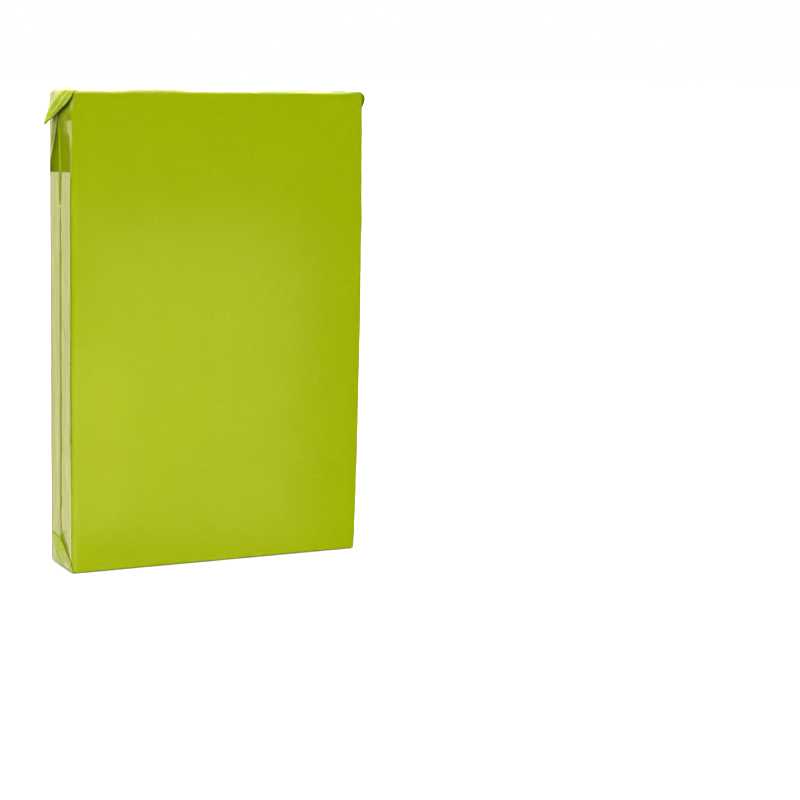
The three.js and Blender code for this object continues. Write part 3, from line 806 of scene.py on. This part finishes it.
def tape_material():
    m, nt = new_material("clear_tape")
    out = node(nt, "ShaderNodeOutputMaterial")
    mix = nt.nodes.new("ShaderNodeMixShader")
    clear = node(nt, "ShaderNodeBsdfTransparent")
    clear.inputs["Color"].default_value = (0.985, 0.99, 0.97, 1)
    p = node(nt, "ShaderNodeBsdfPrincipled")
    nt.links.new(clear.outputs[0], mix.inputs[1])
    nt.links.new(p.outputs[0], mix.inputs[2])
    nt.links.new(mix.outputs[0], out.inputs[0])
    obj = nt.nodes.new("ShaderNodeTexCoord").outputs["Object"]
    haze_and_reflection = nt.nodes.new("ShaderNodeAttribute")
    haze_and_reflection.attribute_name = "haze_and_reflection"
    fine = remap(nt, noise(nt, obj, 130.0, 4.0, 0.6, stretch=(1, 1, 0.3)), 0.25, 0.75, -0.035, 0.035)
    nt.links.new(math_node(nt, "ADD", haze_and_reflection.outputs["Fac"], fine), mix.inputs[0])
    # the milky part's cream is partly a painted reflection of the bright studio
    cloud = noise(nt, obj, 30.0, 3.0, 0.5, stretch=(1, 1, 0.35), offset=(1, 2, 3))
    base = mix_colour(nt, remap(nt, cloud, 0.3, 0.7, 0.0, 1.0), (0.97, 0.965, 0.415, 1), (0.995, 0.985, 0.455, 1))
    # painted highlights along the seam, in bright lime
    painted_tape_highlight = nt.nodes.new("ShaderNodeAttribute")
    painted_tape_highlight.attribute_name = "painted_tape_highlight"
    base = mix_colour(nt, painted_tape_highlight.outputs["Fac"], base, (0.94, 0.99, 0.24, 1))
    nt.links.new(base, p.inputs["Base Color"])
    rough = remap(nt, noise(nt, obj, 70.0, 3.0, 0.5), 0.3, 0.7, 0.13, 0.22)
    nt.links.new(rough, p.inputs["Roughness"])
    p.inputs["IOR"].default_value = 1.48
    nrm = bump_node(nt, noise(nt, obj, 90.0, 3.0, 0.5, stretch=(1, 1, 0.4)), 0.0002, 0.25)
    nt.links.new(nrm, p.inputs["Normal"])
    return m


FILM = film_material()
TAPE = tape_material()


# ------------------------------------------------------------------ the two pieces
def body_masks(v):
    """Where light, shade, highlights and reflections are painted into the body's film colour, mostly on the taped side.
    """
    x, y, z = np.asarray(v).T
    left = smooth(-143.0, -144.0, x) * (y < 34.8)
    y = around(x, y)
    ragged = 0.9 * np.sin(z * 0.9) + 0.6 * np.sin(z * 2.3 + 1)
    crest, yc = seam_crest(z), pocket_crease(z)
    hs, foot = seam_shape(z)
    # a painted reflection below the ear: a pale patch which narrows downwards into a line along the front bend
    rim = np.interp(z, [384, 408, 411, 416, 422, 425, 436, 438], [-31.9, -31.8, -29.8, -29.2, -28.8, -24.6, -23.4, -25.0]) + 0.45 * ragged
    far = np.interp(z, [384, 408, 414, 424, 437], [-33.0, -33.1, -33.5, -33.7, -33.7])
    patch = smooth(-0.4, 0.4, y - far) * smooth(1.1, -1.1, y - np.maximum(rim, far + 1.4)) * smooth(438.6, 436.0, z) * smooth(383, 386, z)
    veil = 0.28 * smooth(-26.5, -21.5, y) * smooth(-10.5, -16.5, y) * smooth(439.5, 436, z) * smooth(420, 427, z) * (0.8 + 0.2 * ragged)
    tick = 0.36 * bump(y, -33.2 - 0.16 * (z - 446.0), 0.8) * smooth(459, 455, z) * smooth(444, 449, z)
    painted_reflection = patch * (0.50 + 0.27 * smooth(410, 424, z)) + veil + tick
    # rear of the pocket: a painted highlight as a cream edge by the crease, olive behind it, a painted reflection on
    # the pale outer bend
    d = y - yc
    sliver = smooth(-0.3, 0.6, d)
    strip = yc + 1.7
    painted_highlight = 0.75 * bump(y, strip, 1.3) * smooth(396, 404, z) * smooth(443, 437, z)
    painted_highlight = painted_highlight + 0.95 * sliver * smooth(strip + 4.0, strip + 2.0, y) * smooth(427.5, 431.5, z)
    painted_reflection = painted_reflection + sliver * (0.85 * smooth(20.0, 24.5, y) * smooth(392, 402, z) + 0.55 * smooth(11, 15, y) * smooth(418, 426, z))
    painted_reflection = painted_reflection + 0.9 * smooth(441, 446, z) * smooth(8, 12, y)
    # painted shade in the pocket's valley, darkest by its rear crease
    share = clamp01((y - crest) / np.maximum(yc - crest, 1.0))
    painted_shade = smooth(0.2, 1.6, y - crest) * smooth(0.3, -0.5, d) * smooth(377, 385, z)
    dark = np.interp(z, [385, 395, 410, 422, 436], [0.62, 0.55, 0.85, 1.05, 0.8])
    painted_shade = painted_shade * dark * (0.38 + 0.62 * smooth(0.35, 0.95, share) + 0.5 * smooth(396, 386, z) * smooth(0.55, 1.0, share))
    painted_shade = painted_shade + 0.14 * bump(y, -9.5, 4.2) * smooth(392, 400, z) * smooth(428, 420, z)
    # painted shade on the seam's front flank under the tape, and a painted shadow as the dark line along the folded ear
    flank = smooth(-0.3, 0.3, y - foot) * smooth(-0.1, -0.7, y - crest) * smooth(392, 386, z) * smooth(26, 30, z)
    painted_shade = painted_shade + flank * np.interp(z, [300, 345, 360, 386], [0.23, 0.23, 0.15, 0.08])
    sd, df = poly_signed(y, z, LEAF), line_distance(y, z, LEAF_FRONT)
    painted_shade = painted_shade + 1.0 * smooth(-0.4, 0.2, sd) * smooth(2.2 - 0.8 * smooth(-32.0, -34.5, y), 1.1 - 0.6 * smooth(-32.0, -34.5, y), df) * smooth(3, -2, y) * smooth(-36.6, -35.2, y)
    # painted light: a bright line beside the seam's crest and a lift of the ear's shadow on the side, with a painted
    # shadow line at the ear's edge
    painted_light = 0.60 * bump(y, crest - 1.3, 1.9) * smooth(386, 390, z) * smooth(437, 430, z)
    by_ear = line_distance(y, z, [(-36.0, 460.0), (-31.7, 456.1), (-24.8, 452.6), (-18.8, 449.4), (-11.1, 446.4), (-4.8, 443.8), (4.0, 439.7)])
    painted_light = painted_light + 0.80 * smooth(14, 4, by_ear) * smooth(0, -6, y) * smooth(-34.5, -33.0, y)
    painted_shade = painted_shade + 0.62 * smooth(2.3, 0.8, by_ear) * smooth(4, 0, y) * smooth(-35.8, -34.5, y)
    # painted shade along the front of the top right corner, and along the front bend of the taped side
    painted_shade = painted_shade * left + 0.30 * smooth(118, 140, x) * smooth(462.3, 463.6, z) * smooth(-29.0, -33.6, v[:, 1])
    painted_shade = painted_shade + left * 0.20 * bump(y, -32.2, 1.7) * smooth(14, 24, z)
    # painted light and a faint painted reflection on the front bend, which the lamps leave too dark
    bend = smooth(-32.8, -34.0, y) * smooth(-41.0, -36.5, y)
    painted_light = painted_light + 0.10 * bend * smooth(400, 360, z)
    painted_reflection = painted_reflection + 0.06 * bend * smooth(250, 200, z)
    # a painted highlight: the fold along the top of the front catches the light as a pale line
    fold_highlight = 0.24 * smooth(463.0, 464.1, z) * smooth(-29.0, -33.6, v[:, 1]) * smooth(152, 128, x)
    return {"painted_reflection": painted_reflection * left, "painted_shade": painted_shade, "painted_highlight": np.maximum(painted_highlight * left, fold_highlight), "painted_light": painted_light * left}


def ear_masks(rows, cols):
    """Painted light on the ear's facets: a painted reflection on the pale rear pleat, painted highlights on the pressed
    folds, painted light on the faces between them, and painted shade on the inside and under the edge.
    """
    t = np.linspace(0, 1, cols)[None, :]
    s = np.linspace(0, 1, rows)[:, None]
    on = smooth(0.05, 0.12, s) + 0 * t
    painted_reflection = np.interp(t, [0, 0.05, 0.10, 0.14, 0.18, 0.24, 0.29, 0.32, 0.335], [0.75, 1.0, 0.75, 1.0, 0.70, 0.80, 0.42, 0.45, 0.0]) * on
    painted_reflection = painted_reflection * (0.75 + 0.25 * np.sin(38 * s + 30 * t)) * smooth(1.0, 0.75, s)
    painted_highlight = (1.0 * bump(t, 0.335, 0.040) + 1.0 * bump(t, 0.655, 0.027) * smooth(0.9, 0.65, s) + 0.35 * bump(t, 0.20, 0.02)) * on * smooth(1.0, 0.93, s)
    painted_highlight = painted_highlight + 0.28 * bump(t, 0.912, 0.020) * on * smooth(0.6, 0.4, s) + 0.3 * bump(t, 0.80 - 0.25 * (s - 0.25), 0.020) * bump(s, 0.25, 0.08)
    painted_highlight = painted_highlight + 0.45 * smooth(0.24, 0.14, t) * smooth(0.04, 0.1, s) * smooth(0.55, 0.35, s) * (0.6 + 0.4 * np.sin(30 * s + 55 * t))
    painted_highlight = painted_highlight + 0.5 * bump(t, 0.52 + 0.2 * (s - 0.2), 0.018) * bump(s, 0.16, 0.06) + 0.45 * bump(t, 0.87, 0.016) * bump(s, 0.36, 0.06)
    painted_light = np.interp(t, [0.34, 0.37, 0.60, 0.66, 0.69, 0.76, 0.86, 0.94, 0.96], [0, 0.42, 0.47, 0.46, 0.46, 0.46, 0.50, 0.46, 0]) * on
    painted_light = painted_light * (0.9 + 0.1 * np.sin(14 * s + 5 * t)) + 0.35 * smooth(0.55, 0.85, s) * smooth(0.34, 0.4, t) * on
    painted_shade = 0.25 * bump(t, 0.40, 0.035) * smooth(0.45, 0.15, s) * on + 0.18 * bump(t, 0.715, 0.03) * smooth(0.5, 0.2, s) * on + 0.35 * smooth(0.985, 1.0, s)
    painted_shade = painted_shade + 0.45 * smooth(0.55, 0.8, s) * smooth(0.86, 0.97, t) + 0.12 * bump(t, 0.74, 0.06) * bump(s, 0.55, 0.12)
    painted_shade = painted_shade + 1.0 * smooth(0.942, 0.958, t) * smooth(0.02, 0.06, s) + 0.8 * bump(t, 0.07, 0.045) * bump(s, 0.30, 0.045)
    painted_shade = painted_shade + 0.6 * bump(t, 0.12, 0.03) * bump(s, 0.42, 0.06) + 0.5 * bump(t, 0.845, 0.03) * bump(s, 0.27, 0.05) + 0.4 * bump(t, 0.57, 0.03) * bump(s, 0.18, 0.05)
    # small pleats across the rear part, with painted highlights on their crests and painted shade between
    rear, pleat = smooth(0.31, 0.25, t) * on * smooth(1.0, 0.9, s), np.sin(95 * t + 12 * s)
    painted_highlight = painted_highlight + 0.45 * rear * (0.5 + 0.5 * pleat) ** 2
    painted_shade = painted_shade + 0.16 * rear * (0.5 - 0.5 * pleat) ** 3
    outer = {"painted_reflection": painted_reflection, "painted_highlight": painted_highlight, "painted_light": painted_light, "painted_shade": painted_shade}
    inner = {"painted_reflection": 0 * painted_reflection, "painted_highlight": 0 * painted_reflection, "painted_light": 0 * painted_reflection, "painted_shade": 0.95 + 0 * painted_reflection}
    return {k: np.concatenate([np.broadcast_to(outer[k], (rows, cols)).ravel(), np.broadcast_to(inner[k], (rows, cols)).ravel()]) for k in outer}


def leaf_masks(v):
    # painted light on the folded ear at the bottom of the taped side, a painted reflection on it and a painted
    # highlight along its rear edge
    x, y, z = np.asarray(v).T
    y = around(x, y)
    df = line_distance(y, z, LEAF_FRONT)
    dr = line_distance(y, z, LEAF_REAR)
    return {"painted_light": 0.30 + 0.68 * smooth(0.8, 2.8, df), "painted_reflection": 0.34 * smooth(0.8, 2.8, df), "painted_highlight": 0.50 * bump(dr, 0.9, 0.8) * smooth(26, 18, z),
            "painted_shade": 0 * x}


def lump_masks(v):
    """The bunched film at the front of the far top ear is shaded."""
    x, y, z = np.asarray(v).T
    return {"painted_light": 0 * x, "painted_reflection": 0 * x, "painted_highlight": 0 * x, "painted_shade": 0.70 * bump(y, -30.0, 7.0) * smooth(441, 447, z)}


def join(parts):
    verts, faces, at = [], [], 0
    for v, f in parts:
        verts.append(v)
        faces.append(f + at)
        at += len(v)
    return np.concatenate(verts), np.concatenate(faces)


bag_parts = [build_body(), build_top_ear(), build_low_ear(), *build_right_ears(), build_flap()]
bag_v, bag_f = join(bag_parts)
bag = mesh_object("poly_bag_film", bag_v, bag_f.tolist(), FILM)
sizes = [len(v) for v, _ in bag_parts]
masks = [body_masks(bag_parts[0][0]), ear_masks(*EAR_GRID), leaf_masks(bag_parts[2][0]), lump_masks(bag_parts[3][0])]
for name in ("painted_light", "painted_reflection", "painted_shade", "painted_highlight"):
    values = np.zeros(sum(sizes), np.float32)
    at = 0
    for n, m in zip(sizes, masks):
        values[at:at + n] = clamp01(m[name])
        at += n
    bag.data.attributes.new(name, "FLOAT", "POINT").data.foreach_set("value", values)
bag.data.set_sharp_from_angle(angle=math.radians(50))
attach(bag, "root")
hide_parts("mailer_bag")

tape_v, tape_f, haze_and_reflection, painted_tape_highlight = build_tape()
tape = mesh_object("clear_side_tape", tape_v, tape_f.tolist(), TAPE)
for name, values in (("haze_and_reflection", haze_and_reflection), ("painted_tape_highlight", painted_tape_highlight)):
    tape.data.attributes.new(name, "FLOAT", "POINT").data.foreach_set("value", values.astype(np.float32))
tape.data.set_sharp_from_angle(angle=math.radians(50))
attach(tape, "root")
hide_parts("side_tape")


# ------------------------------------------------------------------ floor, light and camera
def floor():
    v = np.array([(-14000, -14000, 0), (14000, -14000, 0), (14000, 14000, 0), (-14000, 14000, 0)], float)
    v[:, 2] = -0.3
    m, nt = new_material("pale_floor")
    out = node(nt, "ShaderNodeOutputMaterial")
    d = node(nt, "ShaderNodeBsdfDiffuse")
    # light that comes through the sweep from below
    glow = node(nt, "ShaderNodeEmission")
    glow.inputs["Strength"].default_value = 0.22
    both = nt.nodes.new("ShaderNodeAddShader")
    nt.links.new(d.outputs[0], both.inputs[0])
    nt.links.new(glow.outputs[0], both.inputs[1])
    nt.links.new(both.outputs[0], out.inputs[0])
    obj = nt.nodes.new("ShaderNodeTexCoord").outputs["Object"]
    nt.links.new(mix_colour(nt, noise(nt, obj, 3.0), (0.90, 0.90, 0.90, 1), (0.93, 0.93, 0.925, 1)), d.inputs["Color"])
    ob = mesh_object("floor", v, [(0, 1, 2, 3)], m, smooth_faces=False)
    ob.visible_glossy = False
    ob.visible_diffuse = False
    ob.visible_shadow = False


def world():
    w = bpy.data.worlds.new("studio")
    bpy.context.scene.world = w
    w.use_nodes = True
    nt = w.node_tree
    nt.nodes.clear()
    out = node(nt, "ShaderNodeOutputWorld")
    seen = node(nt, "ShaderNodeBackground")
    seen.inputs["Color"].default_value = (1, 1, 1, 1)
    lit = node(nt, "ShaderNodeBackground")
    xyz = nt.nodes.new("ShaderNodeSeparateXYZ")
    nt.links.new(nt.nodes.new("ShaderNodeTexCoord").outputs["Generated"], xyz.inputs[0])
    # a low bright sweep behind the pack, nothing else
    behind = math_node(nt, "ADD", math_node(nt, "MULTIPLY", xyz.outputs["Y"], 0.928), math_node(nt, "MULTIPLY", xyz.outputs["X"], 0.373))
    behind = remap(nt, behind, 0.927, 0.961, 0, 1)
    off = math_node(nt, "ABSOLUTE", math_node(nt, "SUBTRACT", xyz.outputs["Z"], 0.05), 0.0)
    low = remap(nt, off, 0.191, 0.087, 0, 1)
    nt.links.new(mix_colour(nt, math_node(nt, "MULTIPLY", behind, low), (0.004, 0.004, 0.004, 1), (5.0, 5.0, 5.0, 1)), lit.inputs["Color"])
    lit.inputs["Strength"].default_value = 1.0
    mix = nt.nodes.new("ShaderNodeMixShader")
    nt.links.new(nt.nodes.new("ShaderNodeLightPath").outputs["Is Camera Ray"], mix.inputs[0])
    nt.links.new(lit.outputs[0], mix.inputs[1])
    nt.links.new(seen.outputs[0], mix.inputs[2])
    nt.links.new(mix.outputs[0], out.inputs[0])
    w.cycles.sampling_method = "NONE"


def sun_light(name, towards, strength, spread):
    l = bpy.data.lights.new(name, "SUN")
    l.energy = strength
    l.angle = math.radians(spread)
    o = bpy.data.objects.new(name, l)
    bpy.context.scene.collection.objects.link(o)
    o.location = (0, 0, 3)
    o.rotation_mode = "QUATERNION"
    o.rotation_quaternion = (-Vector(towards)).to_track_quat("-Z", "Y")
    return o


def area_light(name, at, to, size, power, size_y=None):
    l = bpy.data.lights.new(name, "AREA")
    l.shape = "RECTANGLE"
    l.size, l.size_y = size, size_y or size
    l.energy = power
    o = bpy.data.objects.new(name, l)
    bpy.context.scene.collection.objects.link(o)
    o.location = at
    o.rotation_mode = "QUATERNION"
    o.rotation_quaternion = (Vector(to) - Vector(at)).to_track_quat("-Z", "Y")
    return o


def camera():
    c = bpy.data.cameras.new("camera")
    c.sensor_fit = "HORIZONTAL"
    c.sensor_width = 36.0
    c.lens = 102.699
    c.clip_start, c.clip_end = 0.05, 60.0
    o = bpy.data.objects.new("camera", c)
    bpy.context.scene.collection.objects.link(o)
    a, p, r = math.radians(26.4495), math.radians(9.7380), math.radians(1.3150)
    fwd = Vector((math.sin(a) * math.cos(p), math.cos(a) * math.cos(p), -math.sin(p)))
    right = Vector((math.cos(a), -math.sin(a), 0.0))
    up = right.cross(fwd)
    r2 = right * math.cos(r) + up * math.sin(r)
    u2 = -right * math.sin(r) + up * math.cos(r)
    o.matrix_world = Matrix(((r2.x, u2.x, -fwd.x, -0.82857), (r2.y, u2.y, -fwd.y, -2.10196), (r2.z, u2.z, -fwd.z, 0.54817), (0, 0, 0, 1)))
    bpy.context.scene.camera = o


floor()
world()
for name, towards, strength, spread in (("front", (0.15, -0.9, 0.40), 1.22, 100), ("left", (-0.9, -0.2, 0.26), 0.76, 90),
                                        ("sweep", (-0.9, -0.16, -0.42), 0.68, 60),
                                        ("top", (0.0, -0.15, 0.98), 3.6, 110), ("right", (0.95, 0.15, 0.25), 1.3, 70),
                                        ("rear", (0.10, 0.97, 0.20), 1.3, 60)):
    far = sun_light(name, towards, strength, spread)
    far.visible_glossy = False
    far.data.cycles.use_multiple_importance_sampling = False
fill = area_light("low", (-0.25, -0.80, 0.05), (-0.08, 0, 0.10), 0.7, 1.1, 0.25)
fill.visible_glossy = fill.visible_camera = False
fill.data.cycles.use_multiple_importance_sampling = False
for name, at, to, sx, sy, power, tint in (("panel", (0.072, -0.360, 0.130), (-0.123, -0.025, 0.195), 0.30, 0.36, 0.61, (1.0, 0.92, 0.33)),
                                          ("strip", (-0.075, -0.185, 0.10), (-0.13, 0, 0.10), 0.05, 0.19, 0.035, (1.0, 0.62, 0.33))):
    soft = area_light(name, at, to, sx, power, sy)
    soft.data.color = tint
    soft.visible_diffuse = soft.visible_camera = False
camera()
bpy.context.scene.view_settings.view_transform = "Standard"
bpy.context.scene.view_settings.look = "None"
